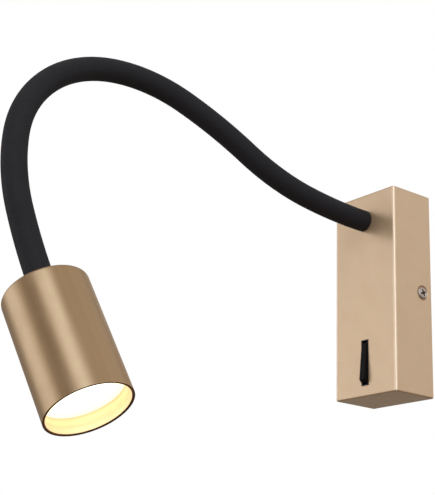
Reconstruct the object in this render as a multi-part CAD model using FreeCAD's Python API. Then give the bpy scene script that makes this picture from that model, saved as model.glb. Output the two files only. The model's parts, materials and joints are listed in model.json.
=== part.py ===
import FreeCAD, Part
import math
import os

# Bedside wall reading lamp: a narrow wall box with a rocker switch, a flexible hose arm in a
# soft sleeve, and a cylindrical lamp head with an LED behind a recessed diffuser.
# Millimetres. X runs along the wall, +Y goes into the wall, +Z is up.
# The origin is the middle of the box's back, midway between the two wall screws.

V = FreeCAD.Vector

# ---------------------------------------------------------------- clearances
loose = 0.3        # round to round, between pieces that move apart
snug = 0.1         # round to round, between pieces that stay together
flat_gap = 0.2     # sheet edges inside the cover
hair = 0.01        # how far past a plane an edge lies to count as beyond it
same_way = 1e-6    # how far from parallel a straight edge may run

# ---------------------------------------------------------------- wall box
box_w = 55.0
box_d = 35.0
box_h = 140.0
box_wall = 1.5
box_edge_r = 1.2

# cross-recess screws, as shares of the head's radius and height
screw_crown = 0.6
screw_slot_w = 0.3
screw_slot_len = 1.1
screw_slot_floor = 0.45

# wall plate: steel sheet with two bent tabs that take the cover's side screws
plate_t = 1.5
plate_end_gap = 4.0
plate_corner_r = 4.0
wall_screw_pitch = 60.0
wall_slot_w = 4.6
wall_slot_len = 12.0
tab_h = 16.0
tab_d = 13.0
tab_round_r = 3.0
tab_boss_r = 3.6
tab_boss_len = 2.5

# side screws of the cover: M4 with a raised head in a shallow dimple
side_screw_r = 2.0
side_screw_head_r = 4.1
side_screw_head_h = 1.8
side_screw_len = 9.0
side_screw_from_wall = 8.2
dimple_r = 5.2
dimple_depth = 0.9

# cable entry in the wall plate, lined with a rubber grommet
entry_hole_r = 7.0
grommet_bore_r = 4.5
grommet_lip = 1.6
grommet_lip_t = 1.2

# terminal block for the mains wires, below the cable entry
block_poles = 3
block_pole_w = 8.5
block_h = 12.0
block_d = 15.0
block_edge_r = 1.0
block_entry_r = 1.7
block_entry_depth = 0.4
block_screw_r = 1.9
block_well_share = 0.45
block_groove_w = 1.0
block_groove_depth = 3.0
clamp_sunk = 1.2
clamp_slot_w = 0.8
clamp_slot_depth = 0.6
block_top_gap = 2.5

# earth screw on the plate, beside the cable entry
earth_screw_r = 2.0
earth_head_r = 3.8
earth_head_h = 2.6
earth_washer_rim = 1.0
earth_from_side = 8.0

# LED driver, screwed to the upper part of the plate
driver_w = 38.0
driver_h = 27.0
driver_d = 18.0
driver_edge_r = 2.0
driver_lid_step = 0.8
driver_lid_t = 3.0
driver_ear_r = 3.2
driver_ear_t = 2.0
driver_screw_r = 1.5
driver_screw_head_r = 2.7
driver_screw_head_h = 1.6
driver_top_gap = 8.0

# Wires are drawn with this many flat sides, and their bends in this many steps. A bend takes
# this share of the shorter run beside it.
wire_sides = 8
wire_bend_steps = 4
wire_bend_share = 0.45
wire_lengthwise = 0.9

# single wires between block, switch and driver
wire_r = 1.1
wire_grip = 3.0
wire_lane_gap = 3.5

# rocker switch: a slim paddle in a housing pushed into the cover from behind
switch_from_bottom = 22.5
paddle_w = 4.7
paddle_front_half = 12.2
paddle_base_half = 14.2
paddle_proud = 2.2
paddle_root = 2.0
paddle_taper = 1.0
paddle_edge_r = 0.5
rock_angle = 5.5
pivot_depth = 4.0
pivot_pin_r = 1.0
pivot_pin_reach = 1.6
switch_clear = 0.15
switch_swing = 0.5
neck_wall = 0.6
neck_proud = 0.3
housing_wall = 2.0
housing_end_wall = 2.4
housing_d = 14.0
cavity_d = 8.0
blade_w = 4.8
blade_t = 0.8
blade_len = 6.5
blade_pitch = 10.0
blade_hole_share = 0.6

# ---------------------------------------------------------------- arm
exit_from_top = 19.0
ring_step = 8.75
sleeve_r = 7.25
sleeve_wall = 1.5
core_wall = 2.2
lead_r = 1.8

# The arm is one hose drawn as tangent arcs of equal length. Each arc bends by the given
# angles, in degrees: first downward, then sideways towards -X seen from the arm's tip.
arc_len = 52.5
arc_bends = (
    (-10.0, -2.0),
    (-20.5, -4.0),
    (8.5, -2.0),
    (31.0, 8.0),
    (35.0, 8.5),
    (32.0, 9.5),
    (18.0, 7.0),
    (0.0, 8.0),
)
# The tightest bend of the hose. When an arc turns at its hinge, the middle of the arc takes
# more of the turn than its ends, by this factor over the average.
bend_radius_min = 80.0
bend_gather = 1.5

# end fittings of the hose: a crimped sleeve, a collar and an M10 thread with nut and washer
crimp_len = 8.0
thread_r = 5.0
thread_len = 9.0
fitting_bore_r = 3.3
nut_across_flats = 14.0
nut_t = 3.0
washer_r = 8.0
washer_t = 0.8
washer_teeth = 12

# ---------------------------------------------------------------- lamp head
head_r = 23.0
head_len = 70.0
head_wall = 1.5
head_top_t = 2.5
head_top_round = 1.6
head_round_steps = 3
rim_chamfer = 0.5
recess_depth = 11.0
ring_bore_r = 18.6
ring_t = 1.6
diffuser_t = 2.0
diffuser_lip = 1.0
reflector_len = 17.0
reflector_throat_r = 6.0
reflector_wall = 1.0
reflector_steps = 3
reflector_curve = 1.5
board_r = 14.0
board_t = 1.6
chip_r = 5.0
chip_t = 1.0
chip_field_share = 0.85
sink_base_t = 4.0
sink_core_r = 8.0
sink_bore_r = 4.5
fin_count = 18
fin_t = 1.1
fin_top_gap = 14.0
fin_edge_gap = 1.0
board_screw_r = 1.25
board_screw_head_r = 2.2
board_screw_head_h = 1.3
board_screw_circle_r = 10.5
board_screw_len = 5.0
led_wire_r = 0.7
led_lead_reach = 1.5
led_wire_circle_r = 11.0
led_wire_spread = 1.5

# ---------------------------------------------------------------- derived places
half_w = box_w / 2
front_y = -box_d
exit_z = box_h / 2 - exit_from_top
switch_z = -box_h / 2 + switch_from_bottom
core_r = sleeve_r - sleeve_wall - loose
core_bore_r = core_r - core_wall
arc_count = len(arc_bends)
arm_len = arc_count * arc_len
arc_bend_max = math.degrees(arc_len / bend_radius_min)
bend_most = max(abs(angle) for bend in arc_bends for angle in bend)
turn_most = (arc_bend_max + bend_most) / bend_gather
core_gap = core_r * math.tan(math.radians(turn_most / 2)) + loose

os.makedirs("parts", exist_ok=True)
nodes = {}


def save(name, shape):
    """Write one sub-part and keep it for the printed summary."""
    nodes[name] = shape
    shape.exportStep("parts/" + name + ".step")


# ---------------------------------------------------------------- basic solids
def block(x0, x1, y0, y1, z0, z1):
    return Part.makeBox(x1 - x0, y1 - y0, z1 - z0, V(x0, y0, z0))


def rod(radius, start, direction, length):
    return Part.makeCylinder(radius, length, start, direction)


def extrude(points, direction):
    """A prism over a flat polygon."""
    return Part.Face(Part.makePolygon(points + points[:1])).extrude(direction)


def round_edges(solid, radius, wanted):
    """Round the edges that the test picks."""
    edges = [edge for edge in solid.Edges if wanted(edge)]
    return solid.makeFillet(radius, edges)


def along(edge, axis):
    """True for a straight edge that runs along the given axis."""
    if len(edge.Vertexes) != 2:
        return False
    run = edge.Vertexes[1].Point - edge.Vertexes[0].Point
    return abs(abs(run.normalize().dot(axis)) - 1) < same_way


def turned(profile):
    """A solid of revolution about Z from a closed outline of (radius, height) points."""
    points = [V(r, 0, z) for r, z in profile]
    face = Part.Face(Part.makePolygon(points + points[:1]))
    return face.revolve(V(0, 0, 0), V(0, 0, 1), 360)


def hexagon(across_flats, thickness):
    """A hex nut's body on Z, from 0 up."""
    corner_r = across_flats / 2 / math.cos(math.pi / 6)
    points = []
    for i in range(6):
        turn = math.pi / 3 * i
        points.append(V(corner_r * math.cos(turn), corner_r * math.sin(turn), 0))
    return extrude(points, V(0, 0, thickness))


def cross_head_screw(shank_r, shank_len, cap_r, cap_h):
    """A screw along Z: the shank points down from 0, and the raised head stands on 0."""
    crown_z = cap_h * screw_crown
    crown = Part.makeCone(cap_r, cap_r * screw_crown, cap_h - crown_z, V(0, 0, crown_z))
    head = rod(cap_r, V(0, 0, 0), V(0, 0, 1), crown_z).fuse(crown)
    slot_w = cap_r * screw_slot_w
    slot_len = cap_r * screw_slot_len
    slot_floor = cap_h * screw_slot_floor
    for across, length in ((slot_w, slot_len), (slot_len, slot_w)):
        head = head.cut(block(-across / 2, across / 2, -length / 2, length / 2, slot_floor, cap_h))
    return head.fuse(rod(shank_r, V(0, 0, -shank_len), V(0, 0, 1), shank_len)).removeSplitter()


def lay(shape, origin, x_axis, z_axis):
    """Copy a shape drawn at the origin to a place with the given X and Z directions."""
    y_axis = z_axis.cross(x_axis)
    placed = shape.copy()
    placed.Placement = FreeCAD.Placement(origin, FreeCAD.Rotation(x_axis, y_axis, z_axis, "ZXY"))
    return placed


# ---------------------------------------------------------------- the arm's centre line
class Station:
    """A place on the arm: point, forward direction and the sideways direction there."""

    def __init__(self, point, forward, side):
        self.point = point
        self.forward = forward
        self.side = side

    def up_axis(self):
        return self.forward.cross(self.side)


def bend_vector(station, bend):
    """The turn of one arc: its axis as direction and its angle in degrees as length."""
    return station.side * bend[0] + station.up_axis() * bend[1]


def advance(station, bend, distance):
    """The station further along one arc, whose full length turns by its bend."""
    turn = bend_vector(station, bend)
    angle = turn.Length * distance / arc_len
    spin = FreeCAD.Rotation(turn, angle)
    radius = math.degrees(arc_len / turn.Length)
    axis = turn * (1 / turn.Length)
    centre = station.point + axis.cross(station.forward) * radius
    return Station(
        centre + spin.multVec(station.point - centre),
        spin.multVec(station.forward),
        spin.multVec(station.side),
    )


def arc_stations(station, bend, start, end):
    """Evenly spaced stations along part of one arc."""
    steps = max(1, round((end - start) / ring_step))
    return [advance(station, bend, start + (end - start) * i / steps) for i in range(steps + 1)]


def ring_points(station, radius, count):
    """A regular polygon round a station, square to the arm there."""
    points = []
    for i in range(count):
        turn = 2 * math.pi * i / count
        across = station.side * math.cos(turn) + station.up_axis() * math.sin(turn)
        points.append(station.point + across * radius)
    return points


def closed_wire(points):
    return Part.makePolygon(points + points[:1])


def tube(stations, outer_r, inner_r=0, count=16):
    """A tube of flat strips through stations. Rings of one arc are turned copies of each
    other, so every strip is flat."""
    faces = []
    ends = [[], []]
    for radius in (outer_r, inner_r) if inner_r else (outer_r,):
        rings = [ring_points(station, radius, count) for station in stations]
        for near, far in zip(rings, rings[1:]):
            for i in range(count):
                j = (i + 1) % count
                faces.append(Part.Face(closed_wire([near[i], near[j], far[j], far[i]])))
        ends[0].append(closed_wire(rings[0]))
        ends[1].append(closed_wire(rings[-1]))
    for wires in ends:
        faces.append(Part.makeFace(wires, "Part::FaceMakerBullseye"))
    shell = Part.Shell(faces)
    shell.sewShape()
    solid = Part.Solid(shell)
    if solid.Volume < 0:
        solid.reverse()
    return solid


def bent_wire(points, radius):
    """A wire along straight runs that tangent arcs join. Each arc is as large as its shorter
    run allows."""
    forward = (points[1] - points[0]).normalize()
    other = V(1, 0, 0) if abs(forward.x) < wire_lengthwise else V(0, 1, 0)
    side = forward.cross(other).normalize()
    stations = [Station(points[0], forward, side)]
    for before, corner, after in zip(points, points[1:], points[2:]):
        out = (after - corner).normalize()
        turn = forward.getAngle(out)
        reach = wire_bend_share * min((corner - before).Length, (after - corner).Length)
        axis = forward.cross(out).normalize()
        start = corner - forward * reach
        centre = start + axis.cross(forward) * (reach / math.tan(turn / 2))
        for i in range(wire_bend_steps + 1):
            spin = FreeCAD.Rotation(axis, math.degrees(turn) * i / wire_bend_steps)
            point = centre + spin.multVec(start - centre)
            stations.append(Station(point, spin.multVec(forward), spin.multVec(side)))
        forward = stations[-1].forward
        side = stations[-1].side
    stations.append(Station(points[-1], forward, side))
    return tube(stations, radius, count=wire_sides)


arc_starts = [Station(V(0, front_y, exit_z), V(0, -1, 0), V(1, 0, 0))]
for arc_bend in arc_bends:
    arc_starts.append(advance(arc_starts[-1], arc_bend, arc_len))
tip = arc_starts[-1]
bend_points = [advance(arc_starts[i], arc_bends[i], arc_len / 2) for i in range(arc_count)]



# ---------------------------------------------------------------- wall box pieces
inner_half_w = half_w - box_wall
inner_half_h = box_h / 2 - box_wall
plate_half_w = inner_half_w - flat_gap
plate_half_h = box_h / 2 - plate_end_gap
earth_x = -plate_half_w + earth_from_side
driver_bottom = plate_half_h - driver_top_gap - driver_h
driver_screw_off = driver_screw_head_r + loose
driver_screw_places = (
    V(driver_w / 4, -plate_t, driver_bottom + driver_h + driver_screw_off),
    V(-driver_w / 4, -plate_t, driver_bottom - driver_screw_off),
)
block_top = -entry_hole_r - grommet_lip - block_top_gap
block_front = -plate_t - block_d
block_well_depth = block_d * block_well_share
sides = (-1, 1)


def make_wall_plate():
    plate = block(-plate_half_w, plate_half_w, -plate_t, 0, -plate_half_h, plate_half_h)
    plate = round_edges(plate, plate_corner_r, lambda edge: along(edge, V(0, 1, 0)))
    for side in sides:
        outer = side * plate_half_w
        inner = outer - side * plate_t
        low, high = sorted((outer, inner))
        tab = block(low, high, -tab_d, 0, -tab_h / 2, tab_h / 2)
        tab = round_edges(
            tab, tab_round_r, lambda edge: along(edge, V(1, 0, 0)) and edge.CenterOfMass.y < -tab_d / 2
        )
        boss_start = V(inner, -side_screw_from_wall, 0)
        boss = rod(tab_boss_r, boss_start, V(-side, 0, 0), tab_boss_len)
        plate = plate.fuse(tab).fuse(boss)
    for side in sides:
        hole_start = V(side * plate_half_w, -side_screw_from_wall, 0)
        hole_len = plate_t + tab_boss_len
        plate = plate.cut(rod(side_screw_r + snug / 2, hole_start, V(-side, 0, 0), hole_len))
        plate = plate.cut(wall_slot(side * wall_screw_pitch / 2))
    plate = plate.cut(rod(entry_hole_r, V(0, 0, 0), V(0, -1, 0), plate_t))
    plate = plate.cut(rod(earth_screw_r + snug / 2, V(earth_x, 0, 0), V(0, -1, 0), plate_t))
    for place in driver_screw_places:
        plate = plate.cut(rod(driver_screw_r + snug / 2, place, V(0, 1, 0), plate_t))
    return plate.removeSplitter()


def wall_slot(height):
    """An upright slot through the plate for one wall screw."""
    reach = (wall_slot_len - wall_slot_w) / 2
    radius = wall_slot_w / 2
    middle = block(-radius, radius, -plate_t, 0, height - reach, height + reach)
    low = rod(radius, V(0, 0, height - reach), V(0, -1, 0), plate_t)
    high = rod(radius, V(0, 0, height + reach), V(0, -1, 0), plate_t)
    return middle.fuse(low).fuse(high)


def make_cable_grommet():
    """A rubber ring whose groove sits on the edge of the plate's cable hole. Its back lip
    is flush with the wall side, so the plate still lies flat."""
    seat = entry_hole_r - snug
    lip = entry_hole_r + grommet_lip
    front = -plate_t - grommet_lip_t
    ring = turned(
        [
            (grommet_bore_r, front),
            (lip - grommet_lip_t / 2, front),
            (lip, front + grommet_lip_t / 2),
            (lip, -plate_t),
            (seat, -plate_t),
            (seat, 0),
            (grommet_bore_r, 0),
        ]
    )
    return lay(ring, V(0, 0, 0), V(1, 0, 0), V(0, 1, 0))


def pole_x(pole):
    return (pole - (block_poles - 1) / 2) * block_pole_w


def make_terminal_block():
    """A row of poles in one moulding, with a wire entry and a screw well for each."""
    width = block_poles * block_pole_w
    top = block_top
    front = block_front
    body = block(-width / 2, width / 2, front, -plate_t, top - block_h, top)
    body = round_edges(
        body, block_edge_r,
        lambda edge: along(edge, V(0, 0, 1)) and edge.CenterOfMass.y < front + block_edge_r,
    )
    for pole in range(block_poles):
        x = pole_x(pole)
        entry_y = -plate_t - block_d * block_entry_depth
        body = body.cut(rod(block_entry_r, V(x, entry_y, top - block_h), V(0, 0, 1), block_h))
        well = rod(block_screw_r, V(x, front, top - block_h / 2), V(0, 1, 0), block_well_depth)
        body = body.cut(well)
    for gap in range(1, block_poles):
        x = (gap - block_poles / 2) * block_pole_w
        half = block_groove_w / 2
        groove = block(x - half, x + half, front, front + block_groove_depth, top - block_h, top)
        body = body.cut(groove)
    return body


def make_terminal_screws():
    """Slotted clamp screws, sunk in the wells of the terminal block."""
    screws = []
    top = block_top
    front = block_front
    for pole in range(block_poles):
        x = pole_x(pole)
        radius = block_screw_r - snug
        face = front + clamp_sunk
        middle = top - block_h / 2
        half = clamp_slot_w / 2
        screw = rod(radius, V(x, face, middle), V(0, 1, 0), block_well_depth - clamp_sunk)
        slot = block(
            x - radius, x + radius, face, face + clamp_slot_depth, middle - half, middle + half
        )
        screws.append(screw.cut(slot))
    return Part.makeCompound(screws)


def make_earth_screw():
    """The earth screw with its clamping washer, on the plate beside the cable entry."""
    screw = cross_head_screw(earth_screw_r, plate_t, earth_head_r, earth_head_h)
    washer = rod(earth_head_r + earth_washer_rim, V(0, 0, 0), V(0, 0, 1), washer_t)
    screw.translate(V(0, 0, washer_t))
    stem = rod(earth_screw_r, V(0, 0, -plate_t), V(0, 0, 1), plate_t + washer_t)
    whole = screw.fuse(washer).fuse(stem).removeSplitter()
    return lay(whole, V(earth_x, -plate_t, 0), V(1, 0, 0), V(0, -1, 0))


def make_driver():
    """The LED driver: a moulded case with a stepped lid and two screw ears."""
    back = -plate_t
    front = back - driver_d
    top = driver_bottom + driver_h
    base = block(
        -driver_w / 2, driver_w / 2, front + driver_lid_t, back, driver_bottom, top
    )
    base = round_edges(base, driver_edge_r, lambda edge: along(edge, V(0, 1, 0)))
    step = driver_lid_step
    lid = block(
        -driver_w / 2 + step, driver_w / 2 - step, front, front + driver_lid_t,
        driver_bottom + step, top - step,
    )
    lid = round_edges(lid, driver_edge_r - step, lambda edge: along(edge, V(0, 1, 0)))
    case = base.fuse(lid)
    for place in driver_screw_places:
        ear = rod(driver_ear_r, place, V(0, -1, 0), driver_ear_t)
        neck_z = sorted((place.z, place.z - math.copysign(driver_screw_off, place.z - exit_z)))
        neck = block(
            place.x - driver_ear_r, place.x + driver_ear_r, back - driver_ear_t, back, *neck_z
        )
        case = case.fuse(ear).fuse(neck)
    for place in driver_screw_places:
        case = case.cut(rod(driver_screw_r + snug, place, V(0, -1, 0), driver_ear_t))
    return case.removeSplitter()


def make_driver_screws():
    """Two screws through the driver's ears into the plate."""
    screws = []
    for place in driver_screw_places:
        screw = cross_head_screw(
            driver_screw_r, driver_ear_t + plate_t, driver_screw_head_r, driver_screw_head_h
        )
        seat = place + V(0, -driver_ear_t, 0)
        screws.append(lay(screw, seat, V(1, 0, 0), V(0, -1, 0)))
    return Part.makeCompound(screws)


# ---------------------------------------------------------------- cover
neck_half_w = paddle_w / 2 + switch_clear + neck_wall
neck_half_h = paddle_base_half + switch_swing + neck_wall
housing_half_w = paddle_w / 2 + switch_clear + housing_wall
housing_half_h = paddle_base_half + switch_swing + housing_end_wall
cover_inner_y = front_y + box_wall
pivot_y = front_y + pivot_depth


def make_cover():
    """The painted cover: a deep tray open at the wall, with rounded outer edges."""
    outer = block(-half_w, half_w, front_y, 0, -box_h / 2, box_h / 2)
    outer = round_edges(outer, box_edge_r, lambda edge: edge.CenterOfMass.y < -box_edge_r / 4)
    hollow = block(-inner_half_w, inner_half_w, cover_inner_y, 0, -inner_half_h, inner_half_h)
    cover = outer.cut(hollow)
    cover = cover.cut(rod(thread_r + snug, V(0, front_y, exit_z), V(0, 1, 0), box_wall))
    slot_w = neck_half_w + snug
    slot_h = neck_half_h + snug
    cover = cover.cut(
        block(-slot_w, slot_w, front_y, cover_inner_y, switch_z - slot_h, switch_z + slot_h)
    )
    for side in sides:
        place = V(side * half_w, -side_screw_from_wall, 0)
        dimple = Part.makeCone(
            dimple_r, dimple_r - dimple_depth, dimple_depth, place, V(-side, 0, 0)
        )
        hole = rod(side_screw_r + snug, place, V(-side, 0, 0), box_wall)
        cover = cover.cut(dimple).cut(hole)
    return cover


def make_cover_screws():
    """One screw from each side, through the cover into the plate's tab."""
    screws = []
    for side in sides:
        screw = cross_head_screw(
            side_screw_r, side_screw_len, side_screw_head_r, side_screw_head_h
        )
        place = V(side * (half_w - dimple_depth), -side_screw_from_wall, 0)
        screws.append(lay(screw, place, V(0, 1, 0), V(side, 0, 0)))
    return Part.makeCompound(screws)


# ---------------------------------------------------------------- rocker switch
def make_switch_housing():
    """A moulded box behind the cover, with a thin neck that fills the cover's slot and a
    cavity in which the paddle rocks on two pins."""
    back = cover_inner_y + housing_d
    body = block(
        -housing_half_w, housing_half_w, cover_inner_y, back,
        switch_z - housing_half_h, switch_z + housing_half_h,
    )
    neck = block(
        -neck_half_w, neck_half_w, front_y - neck_proud, cover_inner_y,
        switch_z - neck_half_h, switch_z + neck_half_h,
    )
    cavity_w = paddle_w / 2 + switch_clear
    cavity_h = paddle_base_half + switch_swing
    cavity = block(
        -cavity_w, cavity_w, front_y - neck_proud, cover_inner_y + cavity_d,
        switch_z - cavity_h, switch_z + cavity_h,
    )
    pin_reach = cavity_w + pivot_pin_reach
    socket = rod(
        pivot_pin_r + snug / 2, V(-pin_reach, pivot_y, switch_z), V(1, 0, 0), 2 * pin_reach
    )
    housing = body.fuse(neck).cut(cavity).cut(socket)
    return housing.removeSplitter()


def make_rocker():
    """The paddle: flat front, slanted ends, and a root below the cover that narrows toward
    the pins. Drawn level, then tipped to the latched pose with its lower end out."""
    front = -pivot_depth - paddle_proud
    root = paddle_root
    outline = [
        V(0, front, paddle_front_half),
        V(0, -pivot_depth, paddle_base_half),
        V(0, -pivot_depth / 2, paddle_base_half - paddle_taper),
        V(0, root, pivot_depth),
        V(0, root, -pivot_depth),
        V(0, -pivot_depth / 2, -paddle_base_half + paddle_taper),
        V(0, -pivot_depth, -paddle_base_half),
        V(0, front, -paddle_front_half),
    ]
    paddle = extrude(outline, V(paddle_w, 0, 0))
    paddle.translate(V(-paddle_w / 2, 0, 0))
    paddle = round_edges(
        paddle, paddle_edge_r,
        lambda edge: edge.BoundBox.YMax < -pivot_depth - hair,
    )
    pin_len = paddle_w / 2 + switch_clear + pivot_pin_reach - snug
    pins = rod(pivot_pin_r, V(-pin_len, 0, 0), V(1, 0, 0), 2 * pin_len)
    rocker = paddle.fuse(pins).removeSplitter()
    rocker.rotate(V(0, 0, 0), V(1, 0, 0), -rock_angle)
    rocker.translate(V(0, pivot_y, switch_z))
    return rocker


def make_switch_blades():
    """Flat terminals at the back of the switch."""
    start = cover_inner_y + housing_d
    blades = []
    for step in (-1, 0, 1):
        z = switch_z + step * blade_pitch
        blade = block(-blade_t / 2, blade_t / 2, start, start + blade_len, z - blade_w / 2, z + blade_w / 2)
        hole = rod(blade_t, V(-blade_t, start + blade_len * blade_hole_share, z), V(1, 0, 0), 2 * blade_t)
        blades.append(blade.cut(hole))
    return Part.makeCompound(blades)


# ---------------------------------------------------------------- hose fittings
def make_nut():
    """A hex nut on Z, standing on 0, bored for the hose thread."""
    return hexagon(nut_across_flats, nut_t).cut(rod(thread_r + snug / 2, V(0, 0, 0), V(0, 0, 1), nut_t))


def make_toothed_washer():
    """A lock washer on Z with teeth all round its bore."""
    ring = rod(washer_r, V(0, 0, 0), V(0, 0, 1), washer_t)
    bore = rod(thread_r + snug / 2, V(0, 0, 0), V(0, 0, 1), washer_t)
    notch = block(thread_r, (thread_r + washer_r) / 2, -washer_t / 2, washer_t / 2, 0, washer_t)
    ring = ring.cut(bore)
    for i in range(washer_teeth):
        turned_notch = notch.copy()
        turned_notch.rotate(V(0, 0, 0), V(0, 0, 1), 360 / washer_teeth * i)
        ring = ring.cut(turned_notch)
    return ring


def make_fitting(number, start, end, place, into):
    """A hose end: the crimped stretch that follows the arm, then the thread, which leaves
    the sleeve's end face in the direction given."""
    crimp = tube(arc_stations(arc_starts[number], arc_bends[number], start, end), core_r, fitting_bore_r)
    thread = rod(thread_r, place, into, thread_len)
    thread = thread.cut(rod(fitting_bore_r, place, into, thread_len))
    return crimp.fuse(thread)


# ---------------------------------------------------------------- arm pieces
def make_hose(number):
    """The hose between two bend points: the rest of one arc and the start of the next.
    Number 0 starts at the wall fitting, and the last one ends at the head fitting."""
    stations = []
    if number > 0:
        start = arc_len / 2 + core_gap
        end = arc_len if number < arc_count else arc_len - crimp_len
        stations += arc_stations(arc_starts[number - 1], arc_bends[number - 1], start, end)
    if number < arc_count:
        start = 0 if number > 0 else crimp_len
        end = arc_len / 2 - core_gap
        stations += arc_stations(arc_starts[number], arc_bends[number], start, end)[bool(stations):]
    return tube(stations, core_r, core_bore_r)


def whole_arc(number):
    return arc_stations(arc_starts[number - 1], arc_bends[number - 1], 0, arc_len)


def make_sleeve(number):
    """The soft sleeve over one arc. The lengths butt together as one unbroken sleeve."""
    return tube(whole_arc(number), sleeve_r, sleeve_r - sleeve_wall)


def make_lead(number):
    """The two-core lead inside one arc of the hose."""
    return tube(whole_arc(number), lead_r, count=wire_sides)


# ---------------------------------------------------------------- wires in the wall box
wire_y = -plate_t - block_d * block_entry_depth
blade_end_y = cover_inner_y + housing_d + blade_len


def make_neutral_wire():
    """Straight up from the last pole to the driver."""
    start = V(pole_x(block_poles - 1), wire_y, block_top - wire_grip)
    return rod(wire_r, start, V(0, 0, 1), driver_bottom - start.z)


def make_earth_wire():
    """From the first pole to the washer of the earth screw."""
    washer_edge = earth_x + earth_head_r + earth_washer_rim + loose
    landing = V(washer_edge, -plate_t - wire_r, 0)
    corner = V(pole_x(0), wire_y, block_top + block_h / 2)
    return bent_wire([V(pole_x(0), wire_y, block_top - wire_grip), corner, landing], wire_r)


def make_live_wire():
    """Down from the middle pole, then forward to the switch's upper blade."""
    height = switch_z + blade_pitch
    start = V(0, wire_y, block_top - block_h + wire_grip)
    corner = V(0, wire_y, height)
    return bent_wire([start, corner, V(0, blade_end_y, height)], wire_r)


def make_switched_wire():
    """From the switch's middle blade back, out to the side, and up to the driver."""
    lane_x = block_poles * block_pole_w / 2 + wire_lane_gap
    points = [
        V(0, blade_end_y, switch_z),
        V(0, wire_y, switch_z),
        V(lane_x, wire_y, block_top - block_h - wire_lane_gap),
        V(lane_x, wire_y, driver_bottom),
    ]
    return bent_wire(points, wire_r)


def make_output_lead():
    """The driver's output, straight from its lid through the hose's wall fitting."""
    start = V(0, -plate_t - driver_d, exit_z)
    return rod(lead_r, start, V(0, -1, 0), start.y - front_y)


# ---------------------------------------------------------------- lamp head, drawn with its
# top at 0 and its opening downward, then laid on the arm's tip
head_inner_r = head_r - head_wall
diffuser_z = -head_len + recess_depth
reflector_z = diffuser_z + diffuser_t
board_z = reflector_z + reflector_len
sink_z = board_z + board_t


def in_head(shape):
    return lay(shape, tip.point, tip.side, tip.forward * -1)


def make_head_shell():
    """The brass tube with its closed top, drawn in one piece, with a rounded top edge and a
    thin chamfered rim."""
    outline = [(0, 0), (0, -head_len), (head_r, -head_len)]
    for i in range(head_round_steps + 1):
        turn = math.pi / 2 * i / head_round_steps
        reach = head_r - head_top_round + head_top_round * math.cos(turn)
        outline.append((reach, head_top_round * (math.sin(turn) - 1)))
    outer = turned(outline)
    bore = turned(
        [
            (0, -head_top_t),
            (head_inner_r, -head_top_t),
            (head_inner_r, -head_len + rim_chamfer),
            (head_inner_r + rim_chamfer, -head_len),
            (0, -head_len),
        ]
    )
    hole = rod(thread_r + snug, V(0, 0, -head_top_t), V(0, 0, 1), head_top_t)
    return in_head(outer.cut(bore).cut(hole))


def make_retaining_ring():
    """The flat ring that holds the diffuser, pressed into the bore in front of it."""
    low = diffuser_z - ring_t
    return in_head(turned(
        [
            (ring_bore_r, low + ring_t / 2),
            (ring_bore_r + ring_t / 2, low),
            (head_inner_r - snug, low),
            (head_inner_r - snug, diffuser_z),
            (ring_bore_r, diffuser_z),
        ]
    ))


def make_diffuser():
    """The opal disc, with a lip behind the ring and a face that stands into its bore."""
    proud = ring_t / 2
    return in_head(turned(
        [
            (0, diffuser_z - proud),
            (ring_bore_r - snug - proud / 2, diffuser_z - proud),
            (ring_bore_r - snug, diffuser_z),
            (head_inner_r - snug, diffuser_z),
            (head_inner_r - snug, diffuser_z + diffuser_lip),
            (ring_bore_r - snug, diffuser_z + diffuser_lip),
            (ring_bore_r - diffuser_t, reflector_z),
            (0, reflector_z),
        ]
    ))


def make_reflector():
    """A thin bowl between the board and the diffuser. Its wall curves in a few
    straight steps, and its front edge is a flat foot on the diffuser's lip."""
    low = diffuser_z + diffuser_lip
    mouth_r = ring_bore_r + snug
    foot_r = head_inner_r - snug
    inside = []
    for i in range(reflector_steps + 1):
        share = i / reflector_steps
        height = board_z + (low - board_z) * share ** reflector_curve
        inside.append((reflector_throat_r + (mouth_r - reflector_throat_r) * share, height))
    outside = [(r + reflector_wall, z) for r, z in inside[:-1]]
    foot_top = low + reflector_wall
    outside.append((mouth_r + reflector_wall, foot_top))
    outline = inside + [(foot_r, low), (foot_r, foot_top)] + outside[::-1]
    return in_head(turned(outline))


def board_screw_places(height):
    return [V(side * board_screw_circle_r, 0, height) for side in sides]


def make_led_board():
    """The metal-backed board that carries the chip."""
    board = rod(board_r, V(0, 0, board_z), V(0, 0, 1), board_t)
    for place in board_screw_places(board_z):
        board = board.cut(rod(board_screw_r + snug, place, V(0, 0, 1), board_t))
    for side in sides:
        place = V(0, side * led_wire_circle_r, board_z)
        board = board.cut(rod(led_wire_r + snug, place, V(0, 0, 1), board_t))
    return in_head(board)


def make_led_chip():
    """The LED: a square carrier with its round light field standing on it."""
    half = chip_r / math.sqrt(2)
    carrier = block(-half, half, -half, half, board_z - chip_t / 2, board_z)
    field = rod(half * chip_field_share, V(0, 0, board_z - chip_t), V(0, 0, 1), chip_t)
    return in_head(carrier.fuse(field).removeSplitter())


def make_board_screws():
    """Two small screws through the board into the heat sink."""
    screws = []
    for place in board_screw_places(board_z):
        screw = cross_head_screw(
            board_screw_r, board_screw_len, board_screw_head_r, board_screw_head_h
        )
        screws.append(lay(screw, place, V(1, 0, 0), V(0, 0, -1)))
    return in_head(Part.makeCompound(screws))


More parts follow.
